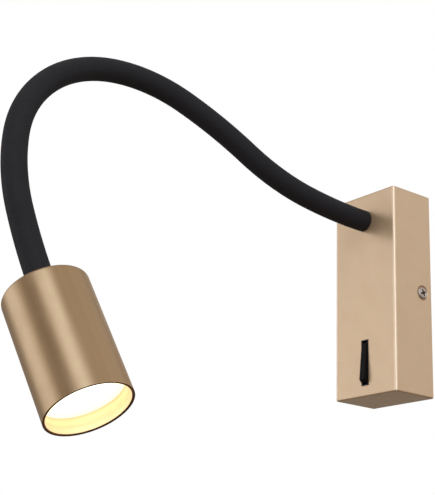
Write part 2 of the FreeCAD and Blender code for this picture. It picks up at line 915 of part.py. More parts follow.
def make_heat_sink():
    """A round base with upright fins about a hollow core. The wires pass down between fins
    and through two holes in the base."""
    fin_top = -head_top_t - fin_top_gap
    base_top = sink_z + sink_base_t
    sink = rod(head_inner_r - snug, V(0, 0, sink_z), V(0, 0, 1), sink_base_t)
    sink = sink.fuse(rod(sink_core_r, V(0, 0, base_top), V(0, 0, 1), fin_top - base_top))
    fins = []
    for i in range(fin_count):
        fin = block(
            sink_core_r - fin_t, head_inner_r - fin_edge_gap, -fin_t / 2, fin_t / 2, base_top, fin_top
        )
        fin.rotate(V(0, 0, 0), V(0, 0, 1), 360 / fin_count * i)
        fins.append(fin)
    sink = sink.multiFuse(fins)
    sink = sink.cut(rod(sink_bore_r, V(0, 0, base_top), V(0, 0, 1), fin_top - base_top))
    for side in sides:
        place = V(0, side * led_wire_circle_r, sink_z)
        sink = sink.cut(rod(led_wire_r + snug, place, V(0, 0, 1), sink_base_t))
    for place in board_screw_places(sink_z):
        depth = board_screw_len - board_t
        sink = sink.cut(rod(board_screw_r + snug / 2, place, V(0, 0, 1), depth))
    return in_head(sink.removeSplitter())


def make_head_lead():
    """The lead's last stretch, through the hose's head fitting to just above the fins."""
    return in_head(rod(lead_r, V(0, 0, 0), V(0, 0, -1), thread_len + led_lead_reach))


def make_led_wires():
    """The lead's two wires, spread to opposite sides and down between fins to the board."""
    top = -thread_len - led_lead_reach - snug
    shoulder = -head_top_t - fin_top_gap + led_wire_r * 2
    wires = []
    for side in sides:
        points = [
            V(0, side * led_wire_r, top),
            V(0, side * led_wire_r * led_wire_spread, (top + shoulder) / 2),
            V(0, side * led_wire_circle_r, shoulder),
            V(0, side * led_wire_circle_r, board_z + board_t / 2),
        ]
        wires.append(bent_wire(points, led_wire_r))
    return in_head(Part.makeCompound(wires))


# ---------------------------------------------------------------- build
save("wall_plate", make_wall_plate())
save("cable_grommet", make_cable_grommet())
save("terminal_block", make_terminal_block())
save("terminal_screws", make_terminal_screws())
save("earth_screw", make_earth_screw())
save("driver", make_driver())
save("driver_screws", make_driver_screws())
save("cover", make_cover())
save("cover_screws", make_cover_screws())
save("switch_housing", make_switch_housing())
save("switch_blades", make_switch_blades())
save("rocker", make_rocker())

save("neutral_wire", make_neutral_wire())
save("earth_wire", make_earth_wire())
save("live_wire", make_live_wire())
save("switched_wire", make_switched_wire())
save("output_lead", make_output_lead())

wall_exit = arc_starts[0].point
save("wall_fitting", make_fitting(0, 0, crimp_len, wall_exit, V(0, 1, 0)))
save("wall_washer", lay(make_toothed_washer(), V(0, cover_inner_y, exit_z), V(1, 0, 0), V(0, 1, 0)))
save("wall_nut", lay(make_nut(), V(0, cover_inner_y + washer_t, exit_z), V(1, 0, 0), V(0, 1, 0)))
for link in range(arc_count + 1):
    save("hose_" + str(link), make_hose(link))
for arc in range(1, arc_count + 1):
    save("sleeve_" + str(arc), make_sleeve(arc))
    save("lead_" + str(arc), make_lead(arc))

save("head_fitting", make_fitting(arc_count - 1, arc_len - crimp_len, arc_len, tip.point, tip.forward))
washer_place = tip.point + tip.forward * head_top_t
save("head_washer", lay(make_toothed_washer(), washer_place, tip.side, tip.forward))
nut_place = washer_place + tip.forward * washer_t
save("head_nut", lay(make_nut(), nut_place, tip.side, tip.forward))
save("head_shell", make_head_shell())
save("heat_sink", make_heat_sink())
save("led_board", make_led_board())
save("led_chip", make_led_chip())
save("board_screws", make_board_screws())
save("reflector", make_reflector())
save("diffuser", make_diffuser())
save("retaining_ring", make_retaining_ring())
save("head_lead", make_head_lead())
save("led_wires", make_led_wires())

whole = Part.makeCompound(list(nodes.values()))
bounds = whole.BoundBox
print("nodes", len(nodes))
print("size", [round(length, 1) for length in (bounds.XLength, bounds.YLength, bounds.ZLength)])
print("arm length", arm_len)
print("arm tip", [round(c, 1) for c in tip.point], "facing", [round(c, 3) for c in tip.forward])
for name, shape in nodes.items():
    if not shape.isValid():
        print("not valid:", name)
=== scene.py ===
import json
import math

import bmesh
import bpy
from mathutils import Matrix, Quaternion, Vector


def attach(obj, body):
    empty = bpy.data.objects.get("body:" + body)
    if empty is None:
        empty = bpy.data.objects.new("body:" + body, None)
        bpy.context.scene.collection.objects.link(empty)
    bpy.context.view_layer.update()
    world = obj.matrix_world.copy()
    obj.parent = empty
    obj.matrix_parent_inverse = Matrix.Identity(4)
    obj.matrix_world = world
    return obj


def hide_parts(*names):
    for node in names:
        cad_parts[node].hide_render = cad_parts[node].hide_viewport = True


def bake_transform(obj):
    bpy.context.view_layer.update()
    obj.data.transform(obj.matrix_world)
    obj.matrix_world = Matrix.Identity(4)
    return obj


# A bedside wall reading lamp: painted wall box with a rocker switch, a flexible hose arm in a
# soft black sleeve, and a brass lamp head. Metres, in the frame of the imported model.

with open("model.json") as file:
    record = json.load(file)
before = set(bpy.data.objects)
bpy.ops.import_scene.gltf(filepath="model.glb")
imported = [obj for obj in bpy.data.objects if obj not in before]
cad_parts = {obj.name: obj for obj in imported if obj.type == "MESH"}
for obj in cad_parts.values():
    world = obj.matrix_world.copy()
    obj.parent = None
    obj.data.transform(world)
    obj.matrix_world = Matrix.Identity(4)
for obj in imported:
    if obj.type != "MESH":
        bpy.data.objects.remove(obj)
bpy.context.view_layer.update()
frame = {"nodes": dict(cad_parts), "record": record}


# ---------------------------------------------------------------- sizes shared with the solids
mm = 0.001
box_w = 55 * mm
box_d = 35 * mm
screw_from_wall = 8.2 * mm
dimple_depth = 0.9 * mm
switch_z = -47.5 * mm
paddle_w = 4.7 * mm
pivot_depth = 4 * mm
rock_angle = math.radians(5.5)
arm_exit = Vector((0, -35, 51)) * mm
arc_len = 52.5 * mm
# degrees that each arc turns about its side and its up axis
arc_bends = ((-10, -2), (-20.5, -4), (8.5, -2), (31, 8), (35, 8.5), (32, 9.5), (18, 7), (0, 8))
sleeve_r = 7.25 * mm
sleeve_wall = 1.5 * mm
thread_r = 5 * mm
# heights in the head count down from its top
head_r = 23 * mm
head_len = 70 * mm
head_wall = 1.5 * mm
head_top_t = 2.5 * mm
head_bore_r = head_r - head_wall
diffuser_z = -59 * mm
ring_bore_r = 18.6 * mm
ring_t = 1.6 * mm
reflector_z = -57 * mm
board_z = -40 * mm
seat_gap = 0.1 * mm

# ---------------------------------------------------------------- how finely meshes are drawn
hair = 1e-7
turned_segments = 112
shell_segments = 144
bowl_segments = 96
screw_segments = 96
sleeve_sides = 56
sleeve_steps = 30
turned_edge = 35
screw_edge = 38
soft_edge = 50


# ---------------------------------------------------------------- mesh helpers
def new_piece(name, verts, faces, material, smooth=True):
    mesh = bpy.data.meshes.new(name)
    mesh.from_pydata([tuple(v) for v in verts], [], faces)
    for face in mesh.polygons:
        face.use_smooth = smooth
    mesh.materials.append(material)
    mesh.update()
    piece = bpy.data.objects.new(name, mesh)
    bpy.context.scene.collection.objects.link(piece)
    return piece


def piece_from(name, work, *materials):
    """The piece that a finished working mesh becomes."""
    mesh = bpy.data.meshes.new(name)
    work.to_mesh(mesh)
    work.free()
    for material in materials:
        mesh.materials.append(material)
    piece = bpy.data.objects.new(name, mesh)
    bpy.context.scene.collection.objects.link(piece)
    return piece


def apply_modifiers(piece):
    depsgraph = bpy.context.evaluated_depsgraph_get()
    made = bpy.data.meshes.new_from_object(piece.evaluated_get(depsgraph))
    piece.modifiers.clear()
    piece.data = made
    return piece


def crisp(piece, degrees):
    """Smooth shading that breaks at edges sharper than the given angle, flats kept flat."""
    mesh = piece.data
    work = bmesh.new()
    work.from_mesh(mesh)
    bmesh.ops.recalc_face_normals(work, faces=work.faces)
    limit = math.radians(degrees)
    for edge in work.edges:
        edge.smooth = len(edge.link_faces) == 2 and edge.calc_face_angle(0) < limit
    for face in work.faces:
        face.smooth = True
    work.to_mesh(mesh)
    work.free()
    flats = piece.modifiers.new("flats", "WEIGHTED_NORMAL")
    flats.keep_sharp = True
    return apply_modifiers(piece)


def lathe(name, profile, material, segments=turned_segments, closed=True):
    """Turn a profile of (radius, height) about Z. Points on the axis become one vertex."""
    verts = []
    rings = []
    for r, z in profile:
        if r < hair:
            rings.append([len(verts)] * segments)
            verts.append(Vector((0, 0, z)))
            continue
        rings.append(list(range(len(verts), len(verts) + segments)))
        for i in range(segments):
            turn = 2 * math.pi * i / segments
            verts.append(Vector((r * math.cos(turn), r * math.sin(turn), z)))
    faces = []
    following = rings[1:] + rings[:1] if closed else rings[1:]
    for low, high in zip(rings, following):
        for i in range(segments):
            j = (i + 1) % segments
            corners = []
            for corner in (low[i], low[j], high[j], high[i]):
                if corner not in corners:
                    corners.append(corner)
            if len(corners) > 2:
                faces.append(corners)
    return new_piece(name, verts, faces, material)


def fillet(corner, before, after, radius, steps=4):
    """Points that round one corner of a profile."""
    corner, before, after = Vector(corner), Vector(before), Vector(after)
    start = corner + (before - corner).normalized() * radius
    end = corner + (after - corner).normalized() * radius
    points = []
    for i in range(steps + 1):
        t = i / steps
        points.append(tuple(start * (1 - t) ** 2 + corner * 2 * t * (1 - t) + end * t ** 2))
    return points


def rounded_profile(corners):
    """A closed profile whose corners, given as (radius, height, rounding), are rounded."""
    points = []
    for i, (r, z, rounding) in enumerate(corners):
        if rounding:
            before, after = corners[i - 1][:2], corners[(i + 1) % len(corners)][:2]
            points += fillet((r, z), before, after, rounding)
        else:
            points.append((r, z))
    return points


def remember_place(piece):
    """Keep the drawn place of each vertex, so that brushing follows the piece's own axis."""
    store = piece.data.attributes.new("own_place", "FLOAT_VECTOR", "POINT")
    for i, vertex in enumerate(piece.data.vertices):
        store.data[i].vector = vertex.co
    return piece


def move_mesh(piece, matrix):
    piece.data.transform(matrix)
    piece.data.update()
    return piece


# ---------------------------------------------------------------- the arm's centre line
class Station:
    def __init__(self, point, forward, side):
        self.point = point
        self.forward = forward
        self.side = side

    def up_axis(self):
        return self.forward.cross(self.side)


def advance(station, bend, distance):
    """The place further along one arc, whose full length turns by its bend."""
    turn = station.side * bend[0] + station.up_axis() * bend[1]
    spin = Quaternion(turn.normalized(), math.radians(turn.length) * distance / arc_len)
    radius = arc_len / math.radians(turn.length)
    centre = station.point + turn.normalized().cross(station.forward) * radius
    return Station(
        centre + spin @ (station.point - centre), spin @ station.forward, spin @ station.side
    )


arc_starts = [Station(arm_exit, Vector((0, -1, 0)), Vector((1, 0, 0)))]
for bend in arc_bends:
    arc_starts.append(advance(arc_starts[-1], bend, arc_len))
tip = arc_starts[-1]
head_x, head_z = tip.side, -tip.forward
head_y = head_z.cross(head_x)
head_place = Matrix.Translation(tip.point) @ Matrix((head_x, head_y, head_z)).transposed().to_4x4()


# ---------------------------------------------------------------- node helpers
def linear(red, green, blue):
    """A colour given as 0 to 255 on screen, as the shader's own values."""
    values = []
    for level in (red, green, blue):
        share = level / 255
        values.append(share / 12.92 if share <= 0.04045 else ((share + 0.055) / 1.055) ** 2.4)
    return (*values, 1)


# sockets of a Mix node set to colours
mix_one = 6
mix_other = 7
mix_result = 2


class Wiring:
    """Short calls for adding nodes to one tree."""

    def __init__(self, tree):
        self.tree = tree

    def add(self, kind, settings=None, inputs=None):
        node = self.tree.nodes.new(kind)
        for key, value in (settings or {}).items():
            setattr(node, key, value)
        for key, value in (inputs or {}).items():
            self.feed(node.inputs[key], value)
        return node

    def feed(self, socket, value):
        if isinstance(value, bpy.types.NodeSocket):
            self.tree.links.new(value, socket)
        else:
            socket.default_value = value

    def math(self, operation, *values):
        node = self.add("ShaderNodeMath", {"operation": operation})
        for socket, value in zip(node.inputs, values):
            self.feed(socket, value)
        return node.outputs[0]

    def noise(self, vector, scale, detail=2.0, roughness=0.5):
        node = self.add(
            "ShaderNodeTexNoise",
            inputs={"Vector": vector, "Scale": scale, "Detail": detail, "Roughness": roughness},
        )
        return node.outputs["Fac"]

    def span(self, value, low, high, to_low=0.0, to_high=1.0, kind="SMOOTHSTEP"):
        """A value carried from the range low..high to the range to_low..to_high."""
        ends = {"From Min": low, "From Max": high, "To Min": to_low, "To Max": to_high}
        node = self.add(
            "ShaderNodeMapRange", {"interpolation_type": kind}, {"Value": value, **ends}
        )
        return node.outputs["Result"]

    def mix(self, share, one, other):
        node = self.add("ShaderNodeMix", {"data_type": "RGBA"})
        self.feed(node.inputs["Factor"], share)
        self.feed(node.inputs[mix_one], one)
        self.feed(node.inputs[mix_other], other)
        return node.outputs[mix_result]


def effect(name, inputs, output_kinds):
    """An empty node group with named inputs and outputs."""
    tree = bpy.data.node_groups.new(name, "ShaderNodeTree")
    for label, kind, value in inputs:
        socket = tree.interface.new_socket(label, in_out="INPUT", socket_type=kind)
        if value is not None:
            socket.default_value = value
    for label, kind in output_kinds:
        tree.interface.new_socket(label, in_out="OUTPUT", socket_type=kind)
    return Wiring(tree), tree.nodes.new("NodeGroupInput"), tree.nodes.new("NodeGroupOutput")


def make_grain():
    """Fine speckle of a coating or a casting: a mask for colour and a height for relief."""
    work, given, out = effect(
        "grain",
        [("Place", "NodeSocketVector", None), ("Size", "NodeSocketFloat", 0.001)],
        [("Mask", "NodeSocketFloat"), ("Height", "NodeSocketFloat")],
    )
    coarser = 0.31
    fine_share = 0.65
    scale = work.math("DIVIDE", 1.0, given.outputs["Size"])
    fine = work.noise(given.outputs["Place"], scale, 3.0, 0.6)
    coarse = work.noise(given.outputs["Place"], work.math("MULTIPLY", scale, coarser), 2.0)
    both = work.math(
        "ADD",
        work.math("MULTIPLY", fine, fine_share),
        work.math("MULTIPLY", coarse, 1 - fine_share),
    )
    work.feed(out.inputs["Mask"], work.span(both, 0.35, 0.65))
    work.feed(out.inputs["Height"], both)
    return work.tree


def make_smudge():
    """Broad, faint patches that hands and wiping leave on a surface."""
    work, given, out = effect(
        "smudge",
        [("Place", "NodeSocketVector", None), ("Size", "NodeSocketFloat", 0.02)],
        [("Mask", "NodeSocketFloat")],
    )
    warp_reach = 0.012
    finer = 1.7
    scale = work.math("DIVIDE", 1.0, given.outputs["Size"])
    warp = work.add("ShaderNodeTexNoise", inputs={"Vector": given.outputs["Place"], "Scale": scale})
    bent = work.add("ShaderNodeVectorMath", {"operation": "MULTIPLY_ADD"})
    work.feed(bent.inputs[0], warp.outputs["Color"])
    bent.inputs[1].default_value = (warp_reach, warp_reach, warp_reach)
    work.feed(bent.inputs[2], given.outputs["Place"])
    patch = work.noise(bent.outputs[0], work.math("MULTIPLY", scale, finer), 4.0, 0.55)
    work.feed(out.inputs["Mask"], work.span(patch, 0.38, 0.68))
    return work.tree


def make_brushing():
    """Fine lines drawn round or along a piece: the place is squeezed in the lines' direction."""
    work, given, out = effect(
        "brushing",
        [
            ("Place", "NodeSocketVector", None),
            ("Squeeze", "NodeSocketVector", (1.0, 1.0, 0.04)),
            ("Pitch", "NodeSocketFloat", 0.0004),
        ],
        [("Mask", "NodeSocketFloat"), ("Height", "NodeSocketFloat")],
    )
    squeezed = work.add("ShaderNodeVectorMath", {"operation": "MULTIPLY"})
    work.feed(squeezed.inputs[0], given.outputs["Place"])
    work.feed(squeezed.inputs[1], given.outputs["Squeeze"])
    broader = 0.12
    scale = work.math("DIVIDE", 1.0, given.outputs["Pitch"])
    lines = work.noise(squeezed.outputs[0], scale, 4.0, 0.7)
    broad = work.noise(squeezed.outputs[0], work.math("MULTIPLY", scale, broader), 2.0)
    work.feed(out.inputs["Mask"], work.span(broad, 0.3, 0.7))
    work.feed(out.inputs["Height"], lines)
    return work.tree


def make_dust():
    """A thin veil on faces that look up, broken by fine noise."""
    work, given, out = effect(
        "dust",
        [("Place", "NodeSocketVector", None), ("Amount", "NodeSocketFloat", 0.2)],
        [("Mask", "NodeSocketFloat")],
    )
    mote_scale = 2600.0
    mote_share = 0.7
    normal = work.add("ShaderNodeNewGeometry").outputs["Normal"]
    upward = work.add("ShaderNodeSeparateXYZ", inputs={"Vector": normal}).outputs["Z"]
    flat = work.span(upward, 0.3, 1.0)
    motes = work.span(work.noise(given.outputs["Place"], mote_scale, 3.0, 0.65), 0.4, 0.75)
    broken = work.math("MULTIPLY_ADD", motes, mote_share, 1 - mote_share)
    veil = work.math("MULTIPLY", flat, broken)
    work.feed(out.inputs["Mask"], work.math("MULTIPLY", veil, given.outputs["Amount"]))
    return work.tree


effects = {
    "grain": make_grain(),
    "smudge": make_smudge(),
    "brushing": make_brushing(),
    "dust": make_dust(),
}


class Finish(Wiring):
    """A material round one Principled shader."""

    def __init__(self, name, roughness, metallic=0.0, own_axis=False):
        self.material = bpy.data.materials.new(name)
        self.material.use_nodes = True
        super().__init__(self.material.node_tree)
        self.shader = self.tree.nodes["Principled BSDF"]
        self.shader.inputs["Roughness"].default_value = roughness
        self.shader.inputs["Metallic"].default_value = metallic
        if own_axis:
            place = self.add("ShaderNodeAttribute", {"attribute_name": "own_place"})
            self.place = place.outputs["Vector"]
        else:
            self.place = self.add("ShaderNodeTexCoord").outputs["Object"]

    def use(self, name, **values):
        node = self.add("ShaderNodeGroup", {"node_tree": effects[name]})
        self.feed(node.inputs["Place"], self.place)
        for key, value in values.items():
            self.feed(node.inputs[key], value)
        return node.outputs

    def relief(self, height, distance):
        bump = self.add("ShaderNodeBump", inputs={"Height": height, "Distance": distance})
        self.feed(self.shader.inputs["Normal"], bump.outputs["Normal"])

    def set(self, name, value):
        self.feed(self.shader.inputs[name], value)


dust_grey = linear(196, 190, 182)
smudge_size = 18 * mm
metal_smudge_size = 22 * mm
metal_relief = 0.01 * mm
# squeezes that draw a metal's lines round the piece's own axis, or leave them without direction
round_lines = (0.05, 0.05, 1)
even_lines = (1, 1, 1)


def coated(name, colour, deep, roughness, grain_size, relief, spread=0.12, metallic=0.0, dusty=0.1):
    """Paint, plating or plastic: speckled colour, uneven gloss and a fine relief."""
    finish = Finish(name, roughness, metallic)
    grain = finish.use("grain", Size=grain_size)
    smudge = finish.use("smudge", Size=smudge_size)
    dust = finish.use("dust", Amount=dusty)
    speckled = finish.mix(grain["Mask"], deep, colour)
    finish.set("Base Color", finish.mix(dust["Mask"], speckled, dust_grey))
    gloss = finish.span(smudge["Mask"], 0.0, 1.0, roughness - spread / 2, roughness + spread / 2)
    finish.set("Roughness", finish.math("ADD", gloss, dust["Mask"]))
    finish.relief(grain["Height"], relief)
    return finish


def turned_metal(name, colour, deep, roughness, squeeze, pitch, own_axis=True):
    """Bare or lacquered metal with fine drawn lines."""
    smudge_tint = 0.25
    smudge_dull = 0.05
    line_dull = 0.08
    finish = Finish(name, roughness, 1.0, own_axis)
    lines = finish.use("brushing", Squeeze=squeeze, Pitch=pitch)
    smudge = finish.use("smudge", Size=metal_smudge_size)
    toned = finish.mix(lines["Mask"], deep, colour)
    tinted = finish.math("MULTIPLY", smudge["Mask"], smudge_tint)
    finish.set("Base Color", finish.mix(tinted, toned, deep))
    gloss = finish.math("MULTIPLY_ADD", lines["Height"], line_dull, roughness - line_dull / 2)
    finish.set("Roughness", finish.math("MULTIPLY_ADD", smudge["Mask"], smudge_dull, gloss))
    finish.relief(lines["Height"], metal_relief)
    return finish


def plain_plastic(name, colour, deep, roughness):
    grain_size = 0.6 * mm
    relief = 0.02 * mm
    return coated(name, linear(*colour), linear(*deep), roughness, grain_size, relief).material


def plain_metal(name, colour, deep, roughness, squeeze=(1, 0.05, 1), pitch=0.4 * mm):
    finish = turned_metal(
        name, linear(*colour), linear(*deep), roughness, squeeze, pitch, own_axis=False
    )
    return finish.material


# ---------------------------------------------------------------- finishes
def make_cover_paint():
    """Satin metallic paint, with a painted highlight along the two upright front corners."""
    highlight_full_within = 0.5 * mm
    highlight_reach = 2 * mm
    finish = coated(
        "cover_paint", linear(208, 180, 149), linear(204, 176, 145), 0.36, 0.4 * mm, 0.0025 * mm,
        spread=0.05, metallic=0.65,
    )
    place = finish.add("ShaderNodeSeparateXYZ", inputs={"Vector": finish.place}).outputs
    beside = finish.math("SUBTRACT", finish.math("ABSOLUTE", place["X"]), box_w / 2)
    ahead = finish.math("ADD", place["Y"], box_d)
    away = finish.math(
        "SQRT", finish.math("ADD", finish.math("POWER", beside, 2), finish.math("POWER", ahead, 2))
    )
    # a paler colour laid along the upright front corners: a painted highlight standing in for the
    # light the rounded edges catch
    corner = finish.span(away, highlight_full_within, highlight_reach, 1.0, 0.0)
    paint = finish.shader.inputs["Base Color"].links[0].from_socket
    finish.set("Base Color", finish.mix(corner, paint, linear(255, 232, 206)))
    finish.set("Coat Weight", 0.12)
    finish.set("Coat Roughness", 0.25)
    return finish.material


def dull_black(name, colour, deep, roughness, grain_size, relief, spread, dusty, mirror):
    """Moulded black with little sheen."""
    finish = coated(
        name, linear(*colour), linear(*deep), roughness, grain_size, relief, spread, dusty=dusty
    )
    finish.set("Specular IOR Level", mirror)
    return finish.material


def make_head_bore():
    """The inside of the shade, with the lamp's light on it painted in as an emission glow, strongest
    by the diffuser and at the mouth.
    """
    painted_glow_middle = 0.175
    painted_glow_ends = 0.29
    finish = turned_metal(
        "head_bore", linear(218, 192, 150), linear(202, 176, 134), 0.42, round_lines, 0.4 * mm
    )
    height = finish.add("ShaderNodeSeparateXYZ", inputs={"Vector": finish.place}).outputs["Z"]
    depth = finish.span(height, -head_len, diffuser_z - ring_t, -1.0, 1.0, "LINEAR")
    painted_glow = finish.mix(finish.span(depth, -1.0, 1.0), linear(255, 250, 226), linear(255, 250, 200))
    from_middle = finish.math("ABSOLUTE", depth)
    # painted light: an emission glow on the inner wall stands in for the lamp's light falling on it
    finish.set("Emission Color", painted_glow)
    finish.set("Emission Strength", finish.span(from_middle, 0.0, 0.7, painted_glow_middle, painted_glow_ends))
    return finish.material


def metal_with_painted_glow(name, colour, deep, roughness, pitch, painted_glow, strength):
    """Turned metal close to the lamp's light, the light on it painted in as an emission glow."""
    finish = turned_metal(name, linear(*colour), linear(*deep), roughness, round_lines, pitch)
    finish.set("Emission Color", linear(*painted_glow))
    finish.set("Emission Strength", strength)
    return finish.material


def make_diffuser_opal():
    """A lit opal disc, a little warmer and dimmer towards its edge."""
    even_share = 0.55
    finish = Finish("diffuser_opal", 0.45, own_axis=True)
    grain = finish.use("grain", Size=0.6 * mm)
    flat = finish.add("ShaderNodeVectorMath", {"operation": "MULTIPLY"})
    finish.feed(flat.inputs[0], finish.place)
    flat.inputs[1].default_value = (1, 1, 0)
    reach = finish.add("ShaderNodeVectorMath", {"operation": "LENGTH"})
    finish.feed(reach.inputs[0], flat.outputs[0])
    edge = finish.span(reach.outputs["Value"], ring_bore_r * even_share, ring_bore_r)
    finish.set("Base Color", finish.mix(grain["Mask"], linear(244, 240, 230), linear(252, 250, 244)))
    finish.set("Emission Color", finish.mix(edge, linear(255, 250, 236), linear(255, 232, 178)))
    finish.set("Emission Strength", 1.7)
    finish.set("Subsurface Weight", 0.15)
    finish.set("Subsurface Scale", 2 * mm)
    finish.relief(grain["Height"], 0.01 * mm)
    return finish.material


def make_led_phosphor():
    """The yellow light field, lit."""
    finish = Finish("led_phosphor", 0.5)
    grain = finish.use("grain", Size=0.4 * mm)
    mask = grain["Mask"]
    finish.set("Base Color", finish.mix(mask, linear(236, 190, 60), linear(250, 214, 96)))
    finish.set("Emission Color", finish.mix(mask, linear(255, 226, 160), linear(255, 240, 200)))
    finish.set("Emission Strength", 2.0)
    finish.relief(grain["Height"], 0.01 * mm)
    return finish.material


finishes = {
    "cover_paint": make_cover_paint(),
    "plate_steel": plain_metal(
        "plate_steel", (196, 198, 201), (184, 186, 190), 0.4, even_lines, 1.2 * mm
    ),
    "screw_steel": plain_metal(
        "screw_steel", (216, 204, 195), (200, 188, 179), 0.5, even_lines, 0.6 * mm
    ),
    "switch_black": dull_black(
        "switch_black", (11, 9, 10), (7, 6, 7), 0.42, 0.6 * mm, 0.006 * mm, 0.08, 0.01, 0.1
    ),
    "housing_black": plain_plastic("housing_black", (26, 26, 28), (17, 17, 19), 0.5),
    "sleeve_silicone": dull_black(
        "sleeve_silicone", (36, 36, 40), (31, 31, 35), 0.7, 0.4 * mm, 0.01 * mm, 0.1, 0.015, 0.12
    ),
    "hose_steel": plain_metal(
        "hose_steel", (172, 172, 174), (128, 128, 132), 0.32, even_lines, 0.6 * mm
    ),
    "lead_jacket": plain_plastic("lead_jacket", (232, 230, 224), (212, 210, 204), 0.5),
    "head_brass": turned_metal(
        "head_brass", linear(204, 175, 139), linear(199, 169, 134), 0.3, (1, 1, 0.03), 0.5 * mm
    ).material,
    "fitting_brass": plain_metal("fitting_brass", (196, 166, 98), (160, 130, 70), 0.3),
    "nut_steel": plain_metal("nut_steel", (196, 197, 199), (150, 151, 154), 0.3, even_lines),
    "sink_aluminium": plain_metal("sink_aluminium", (202, 204, 207), (170, 172, 176), 0.4),
    "board_white": plain_plastic("board_white", (238, 238, 234), (224, 224, 220), 0.4),
    "led_phosphor": make_led_phosphor(),
    # the reflector and the retaining ring get a painted glow that stands in for the lamp's light on
    # them
    "reflector_metal": metal_with_painted_glow(
        "reflector_metal", (232, 232, 230), (210, 210, 208), 0.2, 0.5 * mm, (255, 240, 205), 0.4
    ),
    "diffuser_opal": make_diffuser_opal(),
    "ring_brass": metal_with_painted_glow(
        "ring_brass", (226, 206, 172), (212, 190, 156), 0.4, 0.4 * mm, (255, 250, 226), 1.1
    ),
    "grommet_rubber": plain_plastic("grommet_rubber", (30, 30, 31), (20, 20, 21), 0.66),
    "driver_plastic": plain_plastic("driver_plastic", (228, 228, 224), (212, 212, 208), 0.5),
    "block_nylon": plain_plastic("block_nylon", (236, 233, 222), (220, 216, 203), 0.45),
    "wire_blue": plain_plastic("wire_blue", (38, 96, 178), (28, 78, 150), 0.42),
    "wire_brown": plain_plastic("wire_brown", (112, 66, 38), (90, 50, 28), 0.42),
    "wire_green": plain_plastic("wire_green", (84, 150, 60), (64, 124, 44), 0.42),
    "contact_brass": plain_metal("contact_brass", (210, 182, 110), (176, 148, 82), 0.26),
}
# the shade's inside, with the lamp's light painted on it as a glow; the rim round its mouth, in a
# darker brown that is painted shade; and the wall of the screws' cross recess, in a darker steel
# that is painted shade
head_bore = make_head_bore()
head_rim_painted_shade = turned_metal(
    "head_rim_painted_shade", linear(146, 100, 58), linear(128, 85, 48), 0.35, round_lines, 0.4 * mm
).material
screw_recess_painted_shade = plain_metal("screw_recess_painted_shade", (96, 82, 72), (70, 58, 50), 0.5, even_lines, 0.6 * mm)

slots = {}
for subpart in frame["record"]["subparts"]:
    slots[subpart["node"]] = subpart["material_slot"]
for node, slot in slots.items():
    solid = frame["nodes"][node]
    solid.data.materials.clear()
    solid.data.materials.append(finishes[slot])


# ---------------------------------------------------------------- arm
lip_r = 0.9 * mm
lip_turns = [math.pi / 8 * i for i in range(5)]


def make_arm_length(number):
    """The soft sleeve over one arc. The first and the last length end in a rolled lip."""
    station = arc_starts[number - 1]
    bend = arc_bends[number - 1]
    path = [(arc_len * i / sleeve_steps, sleeve_r) for i in range(sleeve_steps + 1)]
    if number == 1:
        lip = [
            (lip_r * (1 - math.cos(a)), sleeve_r - lip_r + lip_r * math.sin(a))
            for a in lip_turns
        ]
        path = lip + path[1:]
    if number == len(arc_bends):
        lip = [
            (arc_len - lip_r + lip_r * math.sin(a), sleeve_r - lip_r + lip_r * math.cos(a))
            for a in lip_turns
        ]
        path = path[:-1] + lip
    inner = [(distance, sleeve_r - sleeve_wall) for distance in (arc_len, arc_len / 2, 0)]
    verts = []
    faces = []
    for distance, radius in path + inner:
        place = advance(station, bend, distance)
        for i in range(sleeve_sides):
            turn = 2 * math.pi * i / sleeve_sides
            across = place.side * math.cos(turn) + place.up_axis() * math.sin(turn)
            verts.append(place.point + across * radius)
    rings = len(path) + len(inner)
    for ring in range(rings):
        near = ring * sleeve_sides
        far = (ring + 1) % rings * sleeve_sides
        for i in range(sleeve_sides):
            j = (i + 1) % sleeve_sides
            faces.append((near + i, near + j, far + j, far + i))
    sleeve = new_piece(f"arm_sleeve_{number}", verts, faces, finishes["sleeve_silicone"])
    sleeve = crisp(sleeve, soft_edge)
    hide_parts(f"sleeve_{number}", f"lead_{number}", f"hose_{number - 1}")
    if number == len(arc_bends):
        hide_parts(f"hose_{number}")
    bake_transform(sleeve)


for number in range(1, len(arc_bends) + 1):
    make_arm_length(number)


# ---------------------------------------------------------------- lamp head
top_edge_r = 1.6 * mm
rim_chamfer = 0.5 * mm
rim_depth = 0.45 * mm
rim_inset = 0.1 * mm
diffuser_lip_t = 1 * mm
fit_r = head_bore_r - seat_gap


def in_head(piece, node):
    """Put a turned piece in the lamp head in place of its plain solid."""
    crisp(piece, turned_edge)
    remember_place(piece)
    move_mesh(piece, head_place)
    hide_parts(node)
    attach(piece, "lamp_head")


def make_head_shell():
    """The one-piece tube and top, with a rounded top edge and a chamfered rim."""
    hole_r = thread_r + seat_gap
    corners = [
        (hole_r, 0, 0.3 * mm),
        (head_r, 0, top_edge_r),
        (head_r, -head_len, 0.35 * mm),
        (head_bore_r + rim_chamfer, -head_len, 0.15 * mm),
        (head_bore_r, -head_len + rim_chamfer, 0.1 * mm),
        (head_bore_r, diffuser_z - ring_t, 0),
        (head_bore_r, diffuser_z, 0),
        (head_bore_r, -head_top_t, 0.5 * mm),
        (hole_r, -head_top_t, 0),
    ]
    profile = rounded_profile(corners)
    shell = lathe("head_shell_turned", profile, finishes["head_brass"], shell_segments)
    shell.data.materials.append(head_bore)
    shell.data.materials.append(head_rim_painted_shade)
    for face in shell.data.polygons:
        middle = face.center
        reach = math.hypot(middle.x, middle.y)
        # faces of the rim round the mouth get the darker brown of painted shade
        if reach < head_r - rim_inset and middle.z < -head_len + rim_depth:
            face.material_index = 2
        elif reach < head_r - head_wall / 2 and middle.z < -head_top_t * 2:
            face.material_index = 1
    in_head(shell, "head_shell")


